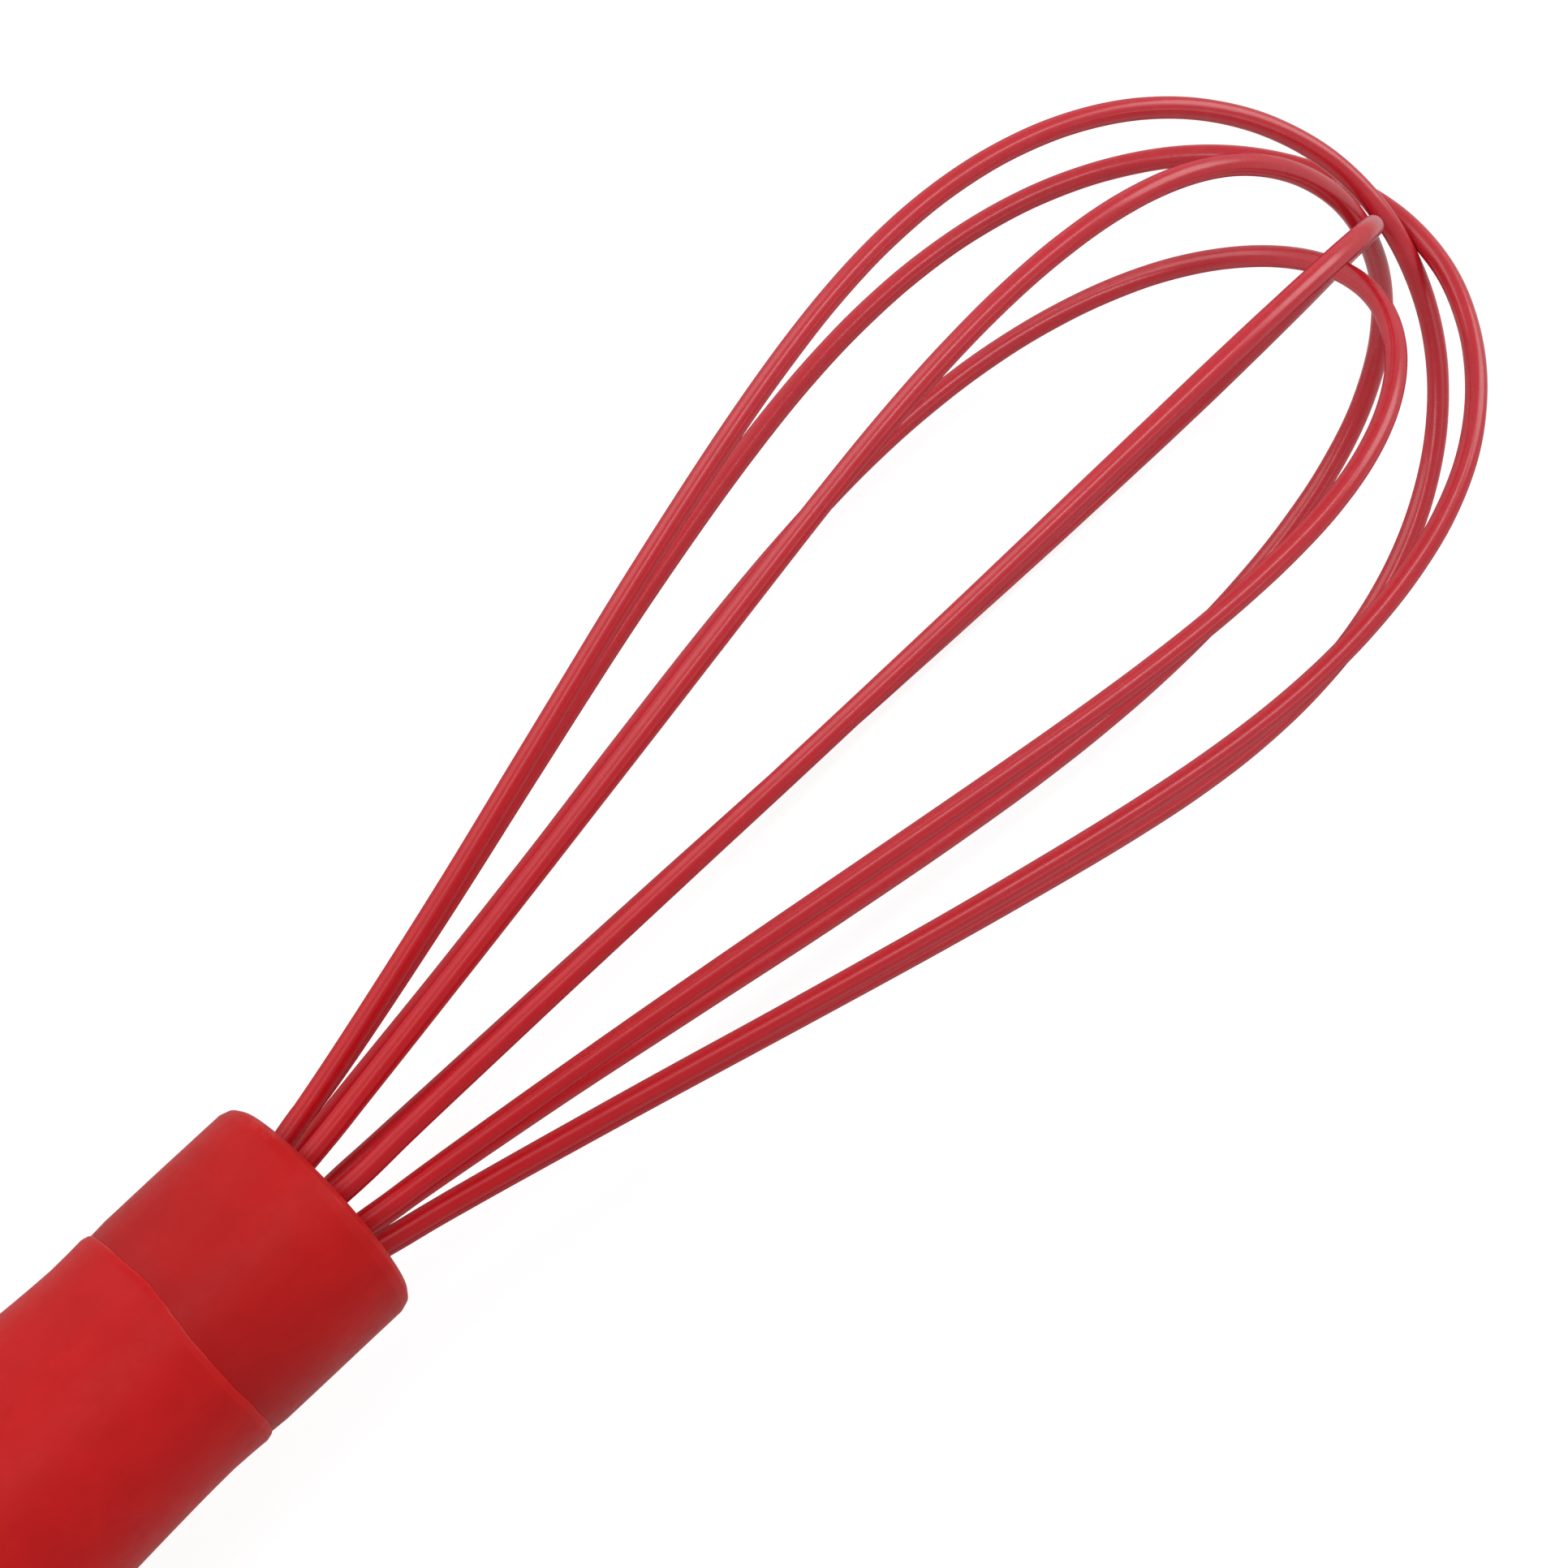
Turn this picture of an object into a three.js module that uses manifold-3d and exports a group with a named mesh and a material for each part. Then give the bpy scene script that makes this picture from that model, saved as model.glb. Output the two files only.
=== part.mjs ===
// Balloon whisk: five silicone-sleeved spring-steel loops set in a silicone-clad handle.
// Millimetres. +X runs along the whisk from the handle to the tip, +Z is up,
// and the origin is the centre of the collar's flat front face. Front means towards +X.
import * as THREE from 'three';
import { mergeVertices } from 'three/addons/utils/BufferGeometryUtils.js';
import Module from 'manifold-3d';

const wasm = await Module();
wasm.setup();

// ---------------------------------------------------------------- shared dimensions
const CLEAR = 0.3;              // gap between pieces that are cut to fit one another
const HOLE_EXTRA_R = 0.05;      // added to the clearance of the sleeve and pin holes
const CHAMFER = 0.4;            // edges of the wire holder and the core

const HANDLE_FACETS = 28;
const FERRULE_FACETS = 24;      // ferrule and potting plug
const ROD_FACETS = 10;
const PIN_HOLE_FACETS = 12;

const WIRE_R = 0.75;            // bare spring-steel wire, 1.5 mm
const SLEEVE_R = 1.15;          // outside of the silicone sleeve, 2.3 mm
const SLEEVE_BORE_R = 0.87;
const WIRE_SIDES = 6;           // also the sides of the sleeve's bore
const SLEEVE_SIDES = 8;

const LEG_CIRCLE_R = 7.39;      // radius of the ring of legs at the collar's face
const LEG_SLOPE = 0.238;        // how fast a leg spreads from the axis
const BUNDLE_R = 3.75;          // radius of the ring of bare ends inside the ferrule
const LEG_ANGLES = {            // degrees from +Y towards +Z, each loop's first and second leg
  a: [21, 199], b: [-22, 156], c: [57, 233], d: [-50, 124], e: [94, 274],
};
const WIRE_END_X = -28;         // where the bare ends stop
const BUNDLE_FRONT_X = -16.6;   // where the wires leave the parallel bundle
const SPREAD_BACK_X = -14;      // where they reach the spreading legs
const WIRE_HOLES_X = -16;       // between plug and holder, where the cutters of both stop
const SLEEVE_END_X = -7;        // where the sleeves stop, inside the wire holder
const LEG_FRONT_X = 4;          // front end of the straight legs

const CORE_R = 10.2;
const PLUG_R = 6.6;
const FERRULE_R = 7.6;
const SPIGOT_R = 7.0;           // the end cap's, in the core's rear bore
const CLADDING_BORE_R = CORE_R + CLEAR;   // collar and grip

const PIN_R = 1.0;
const PIN_HALF_LEN = 9.8;
const PIN_HOLE_HALF_LEN = 12;
const PIN_X = -30.8;

const EYE_X = -110.6;           // centre of the hanging eye

// ---------------------------------------------------------------- materials
const standard = (look) => new THREE.MeshStandardMaterial(look);
const silicone = () => standard({ color: 0xbb2222, roughness: 0.62, metalness: 0 });
const sleeveSilicone = () => standard({ color: 0xba2c33, roughness: 0.42, metalness: 0 });
const steel = () => standard({ color: 0xc9cbcd, roughness: 0.3, metalness: 1 });
const nylon = () => standard({ color: 0xa81f1f, roughness: 0.55, metalness: 0 });
const stiffCore = () => standard({ color: 0xe6e2da, roughness: 0.6, metalness: 0 });
const resin = () => standard({ color: 0xd6b77c, roughness: 0.25, metalness: 0 });
const sealRubber = () => standard({ color: 0x262626, roughness: 0.7, metalness: 0 });

// ---------------------------------------------------------------- solids
// Welds the vertices, drops collapsed triangles and turns the faces outwards.
function tidy(source) {
  let geometry = source.clone();
  for (const name of Object.keys(geometry.attributes)) {
    if (name !== 'position') geometry.deleteAttribute(name);
  }
  geometry = mergeVertices(geometry, 1e-4);
  const { index, attributes: { position } } = geometry;
  const corners = [new THREE.Vector3(), new THREE.Vector3(), new THREE.Vector3()];
  const kept = [];
  let volume = 0;
  for (let i = 0; i < index.count; i += 3) {
    const triangle = [index.getX(i), index.getX(i + 1), index.getX(i + 2)];
    if (new Set(triangle).size < 3) continue;
    kept.push(...triangle);
    const [p, q, r] = corners.map((c, k) => c.fromBufferAttribute(position, triangle[k]));
    volume += p.dot(q.cross(r));
  }
  if (volume < 0) {
    for (let i = 0; i < kept.length; i += 3) [kept[i], kept[i + 1]] = [kept[i + 1], kept[i]];
  }
  geometry.setIndex(kept);
  geometry.computeVertexNormals();
  return geometry;
}

function toSolid(geometry) {
  const clean = tidy(geometry);
  return new wasm.Manifold(new wasm.Mesh({
    numProp: 3,
    vertProperties: Float32Array.from(clean.attributes.position.array),
    triVerts: Uint32Array.from(clean.index.array),
  }));
}

function fromSolid(solid) {
  const mesh = solid.getMesh();
  const geometry = new THREE.BufferGeometry();
  const positions = Float32Array.from(mesh.vertProperties);
  geometry.setAttribute('position', new THREE.BufferAttribute(positions, 3));
  geometry.setIndex(Array.from(mesh.triVerts));
  geometry.computeVertexNormals();
  return geometry;
}

function cut(base, tools) {
  let solid = toSolid(base);
  for (const tool of tools) solid = solid.subtract(toSolid(tool));
  return fromSolid(solid);
}

// A body of revolution about +X from a closed or axis-to-axis outline of [x, radius] pairs.
function turned(outline, facets = HANDLE_FACETS) {
  const points = outline.map(([x, radius]) => new THREE.Vector2(radius, x));
  const geometry = new THREE.LatheGeometry(points, facets);
  geometry.rotateZ(-Math.PI / 2);
  return tidy(geometry);
}

// A round rod between two points.
function rod(from, to, radius, facets = ROD_FACETS) {
  const axis = new THREE.Vector3().subVectors(to, from);
  const geometry = new THREE.CylinderGeometry(radius, radius, axis.length(), facets);
  const up = new THREE.Vector3(0, 1, 0);
  geometry.applyQuaternion(new THREE.Quaternion().setFromUnitVectors(up, axis.normalize()));
  geometry.translate((from.x + to.x) / 2, (from.y + to.y) / 2, (from.z + to.z) / 2);
  return geometry;
}

// A rod along Z through the lock pin's place.
function pinRod(halfLength, radius, facets) {
  const from = new THREE.Vector3(PIN_X, 0, -halfLength);
  const to = new THREE.Vector3(PIN_X, 0, halfLength);
  return rod(from, to, radius, facets);
}
const pinHole = pinRod(PIN_HOLE_HALF_LEN, PIN_R + CLEAR + HOLE_EXTRA_R, PIN_HOLE_FACETS);

// ---------------------------------------------------------------- places on the legs
const legs = Object.values(LEG_ANGLES).flat();
const legRadius = (x) => LEG_CIRCLE_R + LEG_SLOPE * x;

function polar(x, radius, degrees) {
  const angle = THREE.MathUtils.degToRad(degrees);
  return new THREE.Vector3(x, radius * Math.cos(angle), radius * Math.sin(angle));
}
const onLeg = (x, degrees) => polar(x, legRadius(x), degrees);

// ---------------------------------------------------------------- collar, grip and core
function collar() {
  const outerR = 13.35;
  const length = 19.5;
  const roundR = 1.25;          // soft front rim
  const roundSteps = 4;
  const lipR = 9.7;             // front opening, smaller than the wire holder
  const lipLength = 1.2;
  const bevel = 0.3;            // of the lip's front edge, and length of the rear edge's
  const rearDrops = [0.05, 0.35];   // how far the rear edge's two points lie inside outerR
  const rim = Array.from({ length: roundSteps + 1 }, (_, i) => {
    const angle = (i / roundSteps) * Math.PI / 2;
    return [-roundR + roundR * Math.cos(angle), outerR - roundR + roundR * Math.sin(angle)];
  });
  return turned([
    [0, lipR + bevel], ...rim,
    [-length + bevel, outerR - rearDrops[0]], [-length, outerR - rearDrops[1]],
    [-length, CLADDING_BORE_R], [-lipLength, CLADDING_BORE_R],
    [-lipLength, lipR], [-bevel, lipR],
    [0, lipR + bevel],
  ]);
}

const GRIP_PROFILE = [          // outside of the grip: [x, radius], front to back
  [-19.8, 12.95], [-20.05, 13.38], [-20.8, 13.5], [-22.1, 13.46], [-24.5, 13.34], [-27.8, 13.45],
  [-32, 13.64], [-38.2, 13.97], [-46, 14.42], [-55, 14.82], [-63, 14.92], [-71, 14.62],
  [-79, 13.98], [-86, 13.25], [-91.5, 12.82], [-95.5, 12.8], [-97.5, 12.62], [-98, 12.2],
];

function grip() {
  const [front] = GRIP_PROFILE;
  const back = GRIP_PROFILE.at(-1);
  return turned([...GRIP_PROFILE, [back[0], CLADDING_BORE_R], [front[0], CLADDING_BORE_R], front]);
}

function handleCore() {
  const frontX = -14.2;
  const backX = -97.7;
  const stepX = -38;            // between the two bores
  const frontBoreR = FERRULE_R + CLEAR;
  const rearBoreR = SPIGOT_R + CLEAR;
  const body = turned([
    [frontX, frontBoreR], [frontX, CORE_R - CHAMFER], [frontX - CHAMFER, CORE_R],
    [backX, CORE_R], [backX, rearBoreR],
    [stepX, rearBoreR], [stepX, frontBoreR], [frontX, frontBoreR],
  ]);
  return cut(body, [pinHole]);
}

// ---------------------------------------------------------------- wire anchorage
const SEAL_X = -10.4;           // centre of the seal ring's groove
const SEAL_SECTION_R = 0.9;
const SEAL_GROOVE_R = 8.4;

function wireHolder() {
  const radius = 10.1;
  const bossR = 5.0;            // flat boss between the legs, flush with the collar's front face
  const frontX = -1.5;
  const backX = -13.8;
  const grooveHalfWidth = SEAL_SECTION_R + CLEAR;
  const [grooveFrontX, grooveBackX] = [SEAL_X + grooveHalfWidth, SEAL_X - grooveHalfWidth];
  const body = turned([
    [0, 0], [0, bossR - CHAMFER], [-CHAMFER, bossR], [frontX, bossR],
    [frontX, radius - CHAMFER], [frontX - CHAMFER, radius],
    [grooveFrontX, radius], [grooveFrontX, SEAL_GROOVE_R],
    [grooveBackX, SEAL_GROOVE_R], [grooveBackX, radius],
    [backX, radius], [backX, 0],
  ]);
  const legHole = (backEnd, frontEnd, holeR, degrees) => (
    rod(onLeg(backEnd, degrees), onLeg(frontEnd, degrees), holeR));
  return cut(body, legs.flatMap((degrees) => [
    legHole(SLEEVE_END_X - CLEAR, LEG_FRONT_X, SLEEVE_R + CLEAR + HOLE_EXTRA_R, degrees),
    legHole(WIRE_HOLES_X, SLEEVE_END_X, WIRE_R + CLEAR, degrees),
  ]));
}

function sealRing() {
  const grooveGap = 0.15;       // between the ring and the groove's floor
  const centrelineR = SEAL_GROOVE_R + grooveGap + SEAL_SECTION_R;
  const geometry = new THREE.TorusGeometry(centrelineR, SEAL_SECTION_R, 8, 24);
  geometry.rotateY(Math.PI / 2);
  geometry.translate(SEAL_X, 0, 0);
  return tidy(geometry);
}

function ferrule() {
  const frontX = -15.6;
  const backX = -34;
  const boreR = PLUG_R + CLEAR;
  const crimpXs = [-20, -25];
  const crimp = { halfWidth: 0.7, floorHalfWidth: 0.35, depth: 0.25 };
  const crimpOutline = (x) => [
    [x + crimp.halfWidth, FERRULE_R],
    [x + crimp.floorHalfWidth, FERRULE_R - crimp.depth],
    [x - crimp.floorHalfWidth, FERRULE_R - crimp.depth],
    [x - crimp.halfWidth, FERRULE_R],
  ];
  const body = turned([
    [frontX, boreR], [frontX, FERRULE_R], ...crimpXs.flatMap(crimpOutline),
    [backX, FERRULE_R], [backX, boreR], [frontX, boreR],
  ], FERRULE_FACETS);
  return cut(body, [pinHole]);
}

function pottingPlug() {
  const frontX = -17;
  const backX = -33.6;
  const outline = [[backX, 0], [backX, PLUG_R], [frontX, PLUG_R], [frontX, 0]];
  const wireHoles = legs.map((degrees) => rod(
    polar(WIRE_END_X - CLEAR, BUNDLE_R, degrees),
    polar(WIRE_HOLES_X, BUNDLE_R, degrees),
    WIRE_R + CLEAR,
  ));
  return cut(turned(outline, FERRULE_FACETS), [pinHole, ...wireHoles]);
}

const lockPin = () => tidy(pinRod(PIN_HALF_LEN, PIN_R, ROD_FACETS));

// ---------------------------------------------------------------- end cap and hang ring
const CAP_PROFILE = [           // outside of the end cap, flange to dome: [x, radius]
  [-98.3, 12.2], [-98.8, 12.62], [-100.5, 12.62], [-102.6, 12.2],
  [-104.4, 11.2], [-105.9, 9.4], [-106.8, 6.6], [-107.1, 3.2],
];

// The flat lug in the XZ plane, with the eye through it along Y.
function hangingLug() {
  const rootX = -100;           // inside the cap
  const outerR = 5.4;
  const eyeR = 2.8;
  const halfThickness = 3.0;
  const shape = new THREE.Shape();
  shape.moveTo(rootX, -outerR);
  shape.lineTo(rootX, outerR);
  shape.lineTo(EYE_X, outerR);
  shape.absarc(EYE_X, 0, outerR, Math.PI / 2, 3 * Math.PI / 2, false);
  shape.lineTo(rootX, -outerR);
  const eye = new THREE.Path();
  eye.absarc(EYE_X, 0, eyeR, 0, 2 * Math.PI, true);
  shape.holes.push(eye);
  const geometry = new THREE.ExtrudeGeometry(shape, {
    depth: 2 * halfThickness, bevelEnabled: false, curveSegments: 10,
  });
  geometry.translate(0, 0, -halfThickness);
  geometry.rotateX(Math.PI / 2);
  return geometry;
}

function endCap() {
  const spigotFrontX = -84;
  const bevel = { depth: 0.6, length: 0.8 };   // the spigot's front edge
  const body = turned([
    [spigotFrontX, 0], [spigotFrontX, SPIGOT_R - bevel.depth],
    [spigotFrontX - bevel.length, SPIGOT_R], [CAP_PROFILE[0][0], SPIGOT_R],
    ...CAP_PROFILE, [CAP_PROFILE.at(-1)[0], 0],
  ]);
  return fromSolid(toSolid(body).add(toSolid(hangingLug())));
}

function hangRing() {
  const centrelineR = 11;
  const sectionR = 1.2;
  const geometry = new THREE.TorusGeometry(centrelineR, sectionR, 8, 28);
  geometry.translate(-centrelineR, 0, 0);
  return tidy(geometry);
}

// ---------------------------------------------------------------- loops
// Centrelines of the five loops outside the collar, leg to leg over the tip: [x, y, z].
// Each loop bows round its neighbours where they cross at the tip, so none of them touch.
const LOOPS = {
  a: [
    [9.05, 8.97, 3.31], [27.61, 13.83, 5.03], [46.04, 19.1, 6.95], [64.46, 24.38, 8.88],
    [80.47, 28.54, 10.39], [91.26, 30.91, 11.25], [99.91, 32.31, 11.75], [107.89, 32.93, 11.99],
    [115.91, 32.7, 11.91], [123.83, 31.45, 11.47], [131.44, 29.08, 10.61], [138.49, 25.52, 9.26],
    [144.64, 20.76, 7.39], [149.55, 14.78, 5.27], [152.65, 7.67, 3.33], [153.41, -0.07, 1.54],
    [152.29, -7.55, -1.1], [149.64, -14.34, -4.45], [145.08, -20.24, -7.33], [138.95, -24.93, -9.27],
    [131.76, -28.34, -10.41], [124.02, -30.48, -11.07], [116.09, -31.43, -11.4], [108.07, -31.42, -11.42],
    [100.1, -30.64, -11.16], [91.5, -29.19, -10.63], [80.78, -26.89, -9.78], [64.81, -23.09, -8.4],
    [46.22, -18.36, -6.69], [27.65, -13.57, -4.94], [9.02, -8.98, -3.22],
  ],
  b: [
    [9.08, 8.59, -3.59], [27.69, 12.96, -5.5], [46.18, 17.77, -7.55], [64.7, 22.51, -9.56],
    [80.7, 26.12, -11.08], [91.47, 28.13, -11.93], [100.09, 29.31, -12.43], [108.07, 29.87, -12.68],
    [116.08, 29.76, -12.65], [124.01, 28.79, -12.25], [131.7, 26.79, -11.4], [138.91, 23.6, -9.99],
    [145.25, 19.19, -7.95], [150.35, 13.51, -5.64], [153.96, 6.69, -3.47], [155.62, -0.82, -1.29],
    [154.4, -8.02, 1.69], [150.7, -14.21, 5.19], [145.5, -19.48, 8.23], [139.12, -23.83, 10.28],
    [131.85, -26.88, 11.49], [124.08, -28.71, 12.18], [116.14, -29.63, 12.55], [108.13, -29.77, 12.62],
    [100.14, -29.23, 12.41], [91.53, -28.06, 11.92], [80.78, -26.06, 11.07], [64.8, -22.54, 9.57],
    [46.24, -17.98, 7.62], [27.71, -13.26, 5.62], [9.13, -8.74, 3.76],
  ],
  c: [
    [9.05, 5.34, 7.79], [27.41, 8.26, 11.77], [45.68, 11.29, 16.13], [63.92, 14.37, 20.54],
    [79.91, 17.03, 24.31], [90.69, 18.56, 26.49], [99.32, 19.42, 27.74], [107.21, 19.8, 28.29],
    [115.16, 19.65, 28.07], [122.94, 18.83, 26.89], [130.31, 17.19, 24.54], [136.9, 14.7, 20.96],
    [142.34, 11.42, 16.29], [146.66, 7.61, 10.83], [149.78, 3.45, 4.84], [151.45, -0.97, -1.51],
    [151.37, -5.53, -7.97], [149.03, -9.89, -14.1], [144.39, -13.59, -19.32], [138.13, -16.27, -23.19],
    [130.84, -18.05, -25.8], [123.1, -19.1, -27.34], [115.23, -19.57, -27.98], [107.32, -19.55, -27.91],
    [99.43, -19.13, -27.31], [90.78, -18.33, -26.17], [79.95, -16.97, -24.25], [63.87, -14.54, -20.77],
    [45.62, -11.46, -16.36], [27.37, -8.38, -11.97], [9.01, -5.63, -7.87],
  ],
  d: [
    [9.02, 6.07, -7.83], [26.13, 8.49, -11.31], [43.23, 11.13, -14.76], [60.23, 13.96, -18.52],
    [76.36, 16.47, -21.87], [87.45, 17.88, -23.73], [96.1, 18.64, -24.73], [103.59, 18.94, -25.12],
    [110.94, 18.79, -24.96], [118.19, 18.11, -24.07], [125.18, 16.78, -22.29], [131.67, 14.73, -19.53],
    [137.31, 11.95, -15.8], [141.73, 8.41, -11.12], [144.64, 4.31, -5.71], [145.75, -0.05, 0.05],
    [144.84, -4.39, 5.82], [142.05, -8.46, 11.24], [137.65, -12.01, 15.94], [131.95, -14.83, 19.63],
    [125.37, -16.78, 22.2], [118.28, -17.85, 23.67], [110.96, -18.19, 24.18], [103.6, -18.05, 23.99],
    [96.16, -17.54, 23.29], [87.58, -16.6, 22.03], [76.59, -15.07, 19.99], [60.5, -12.62, 16.75],
    [43.42, -9.98, 13.24], [26.28, -7.49, 9.91], [9.01, -5.23, 7.17],
  ],
  e: [
    [9.16, -0.44, 9.49], [27.11, -0.31, 14.04], [44.95, -0.3, 19.03], [62.75, -0.31, 24.13],
    [78.85, -0.25, 28.35], [89.72, -0.14, 30.75], [98.33, -0.03, 32.15], [106.03, 0.08, 32.77],
    [113.74, 0.18, 32.61], [121.39, 0.24, 31.59], [128.88, 0.25, 29.67], [135.97, 0.19, 26.64],
    [142.03, 0.1, 21.93], [146.19, 0.03, 15.5], [148.24, -0.04, 8.08], [148.57, -0.14, 0.38],
    [147.5, -0.33, -7.29], [145.01, -0.55, -14.58], [140.99, -0.74, -21.07], [135.41, -0.88, -26.4],
    [128.69, -0.94, -30.23], [121.32, -0.93, -32.46], [113.69, -0.88, -33.26], [105.97, -0.79, -33],
    [98.26, -0.67, -32.09], [89.64, -0.52, -30.58], [78.78, -0.32, -28.18], [62.63, -0.05, -24.07],
    [44.79, 0.19, -19.07], [26.98, 0.37, -13.97], [9.05, 0.51, -9.37],
  ],
};

const BARE_STATIONS = [         // each leg's bare end, back to front: [x, radius from the axis]
  [WIRE_END_X, BUNDLE_R],
  [BUNDLE_FRONT_X, BUNDLE_R],
  [SPREAD_BACK_X, legRadius(SPREAD_BACK_X)],
];
const CURVE_NODES = 41;         // nodes of each loop outside the wire holder's bare-wire zone
const FINE_STEPS = 1200;        // samples of the smooth curve that the nodes are picked from
const TIP_SPACING = { extraDensity: 1.5, startX: 65, fullX: 105 };   // closer nodes at the tip

// A path held as a list of nodes with a frame at each, so that a wire and its sleeve
// bend at the same places and stay concentric.
class NodePath extends THREE.Curve {
  constructor(nodes, frames) {
    super();
    this.nodes = nodes;
    this.frames = frames;
  }
  getSpacedPoints() {
    return this.nodes.map((node) => node.clone());
  }
  computeFrenetFrames() {
    return this.frames;
  }
  slice(start, end) {
    const { tangents, normals, binormals } = this.frames;
    return new NodePath(this.nodes.slice(start, end), {
      tangents: tangents.slice(start, end),
      normals: normals.slice(start, end),
      binormals: binormals.slice(start, end),
    });
  }
}

// Carries the first normal along the nodes without twist.
function framed(nodes, firstNormal) {
  const last = nodes.length - 1;
  const directions = nodes.slice(1).map((node, i) => (
    new THREE.Vector3().subVectors(node, nodes[i]).normalize()));
  const tangents = nodes.map((_, i) => {
    if (i === 0) return directions[0].clone();
    if (i === last) return directions[last - 1].clone();
    return new THREE.Vector3().addVectors(directions[i - 1], directions[i]).normalize();
  });
  const squared = (normal, tangent) => (
    normal.addScaledVector(tangent, -normal.dot(tangent)).normalize());
  const normals = [squared(firstNormal.clone(), tangents[0])];
  for (let i = 1; i <= last; i++) {
    const turn = new THREE.Quaternion().setFromUnitVectors(tangents[i - 1], tangents[i]);
    normals.push(squared(normals[i - 1].clone().applyQuaternion(turn), tangents[i]));
  }
  const binormals = normals.map((normal, i) => (
    new THREE.Vector3().crossVectors(tangents[i], normal)));
  return new NodePath(nodes, { tangents, normals, binormals });
}

// Picks CURVE_NODES points along a curve, closer together over the tip, where it turns.
function spacedNodes(curve) {
  const { extraDensity, startX, fullX } = TIP_SPACING;
  const density = (x) => 1 + extraDensity * THREE.MathUtils.smoothstep(x, startX, fullX);
  const fine = [curve.getPoint(0)];
  const travelled = [0];        // length so far, weighted by density
  for (let i = 1; i <= FINE_STEPS; i++) {
    fine.push(curve.getPoint(i / FINE_STEPS));
    const step = fine[i].distanceTo(fine[i - 1]) * density(fine[i].x);
    travelled.push(travelled[i - 1] + step);
  }
  const nodes = [];
  let j = 0;
  for (let k = 0; k < CURVE_NODES; k++) {
    const wanted = travelled[FINE_STEPS] * k / (CURVE_NODES - 1);
    while (j < FINE_STEPS - 1 && travelled[j + 1] < wanted) j++;
    const fraction = (wanted - travelled[j]) / (travelled[j + 1] - travelled[j]);
    nodes.push(fine[j].clone().lerp(fine[j + 1], fraction));
  }
  return nodes;
}

function loopPath(key) {
  const [first, second] = LEG_ANGLES[key];
  const bareEnd = (degrees) => BARE_STATIONS.map(([x, radius]) => polar(x, radius, degrees));
  const straightLeg = (degrees) => [SLEEVE_END_X, 0, LEG_FRONT_X].map((x) => onLeg(x, degrees));
  const curve = new THREE.CatmullRomCurve3([
    ...straightLeg(first),
    ...LOOPS[key].map((point) => new THREE.Vector3(...point)),
    ...straightLeg(second).reverse(),
  ], false, 'centripetal');
  const nodes = [...bareEnd(first), ...spacedNodes(curve), ...bareEnd(second).reverse()];
  return framed(nodes, polar(0, 1, first));
}

function polygon(radius, sides) {
  return Array.from({ length: sides }, (_, i) => {
    const angle = (i / sides) * 2 * Math.PI;
    return new THREE.Vector2(radius * Math.cos(angle), radius * Math.sin(angle));
  });
}

function swept(path, shape) {
  return tidy(new THREE.ExtrudeGeometry(shape, {
    steps: path.nodes.length - 1, extrudePath: path, bevelEnabled: false,
  }));
}

const loopWire = (path) => swept(path, new THREE.Shape(polygon(WIRE_R, WIRE_SIDES)));

function loopSleeve(path) {
  const bare = BARE_STATIONS.length;
  const shape = new THREE.Shape(polygon(SLEEVE_R, SLEEVE_SIDES));
  shape.holes.push(new THREE.Path(polygon(SLEEVE_BORE_R, WIRE_SIDES)));
  return swept(path.slice(bare, path.nodes.length - bare), shape);
}

// ---------------------------------------------------------------- assembly
const whisk = new THREE.Group();
whisk.name = 'balloon_whisk';

function add(name, geometry, material, parent = whisk) {
  const mesh = new THREE.Mesh(geometry, material);
  mesh.name = name;
  parent.add(mesh);
}

add('collar', collar(), silicone());
add('grip', grip(), silicone());
add('handle_core', handleCore(), stiffCore());
add('wire_holder', wireHolder(), nylon());
add('seal_ring', sealRing(), sealRubber());
add('ferrule', ferrule(), steel());
add('potting_plug', pottingPlug(), resin());
add('lock_pin', lockPin(), steel());
add('end_cap', endCap(), silicone());

// the ring hangs in its own group, at the eye, so that it swings about the eye's centre
const ringGroup = new THREE.Group();
ringGroup.position.set(EYE_X, 0, 0);
whisk.add(ringGroup);
add('hang_ring', hangRing(), steel(), ringGroup);

for (const key of Object.keys(LOOPS)) {
  const path = loopPath(key);
  add(`loop_${key}_wire`, loopWire(path), steel());
  add(`loop_${key}_sleeve`, loopSleeve(path), sleeveSilicone());
}

export default whisk;
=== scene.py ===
"""A balloon whisk with five silicone-sleeved wire loops, a soft handle and a hanging ring.

The whisk lies along X: the loops reach towards +X, the collar starts at x = 0 and the handle runs
towards -X. Angles about the whisk go from +Y towards +Z. Sizes are in millimetres; shaders,
lights and scene objects use metres.
"""
import math

import bmesh
import bpy
from mathutils import Matrix, Vector


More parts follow.
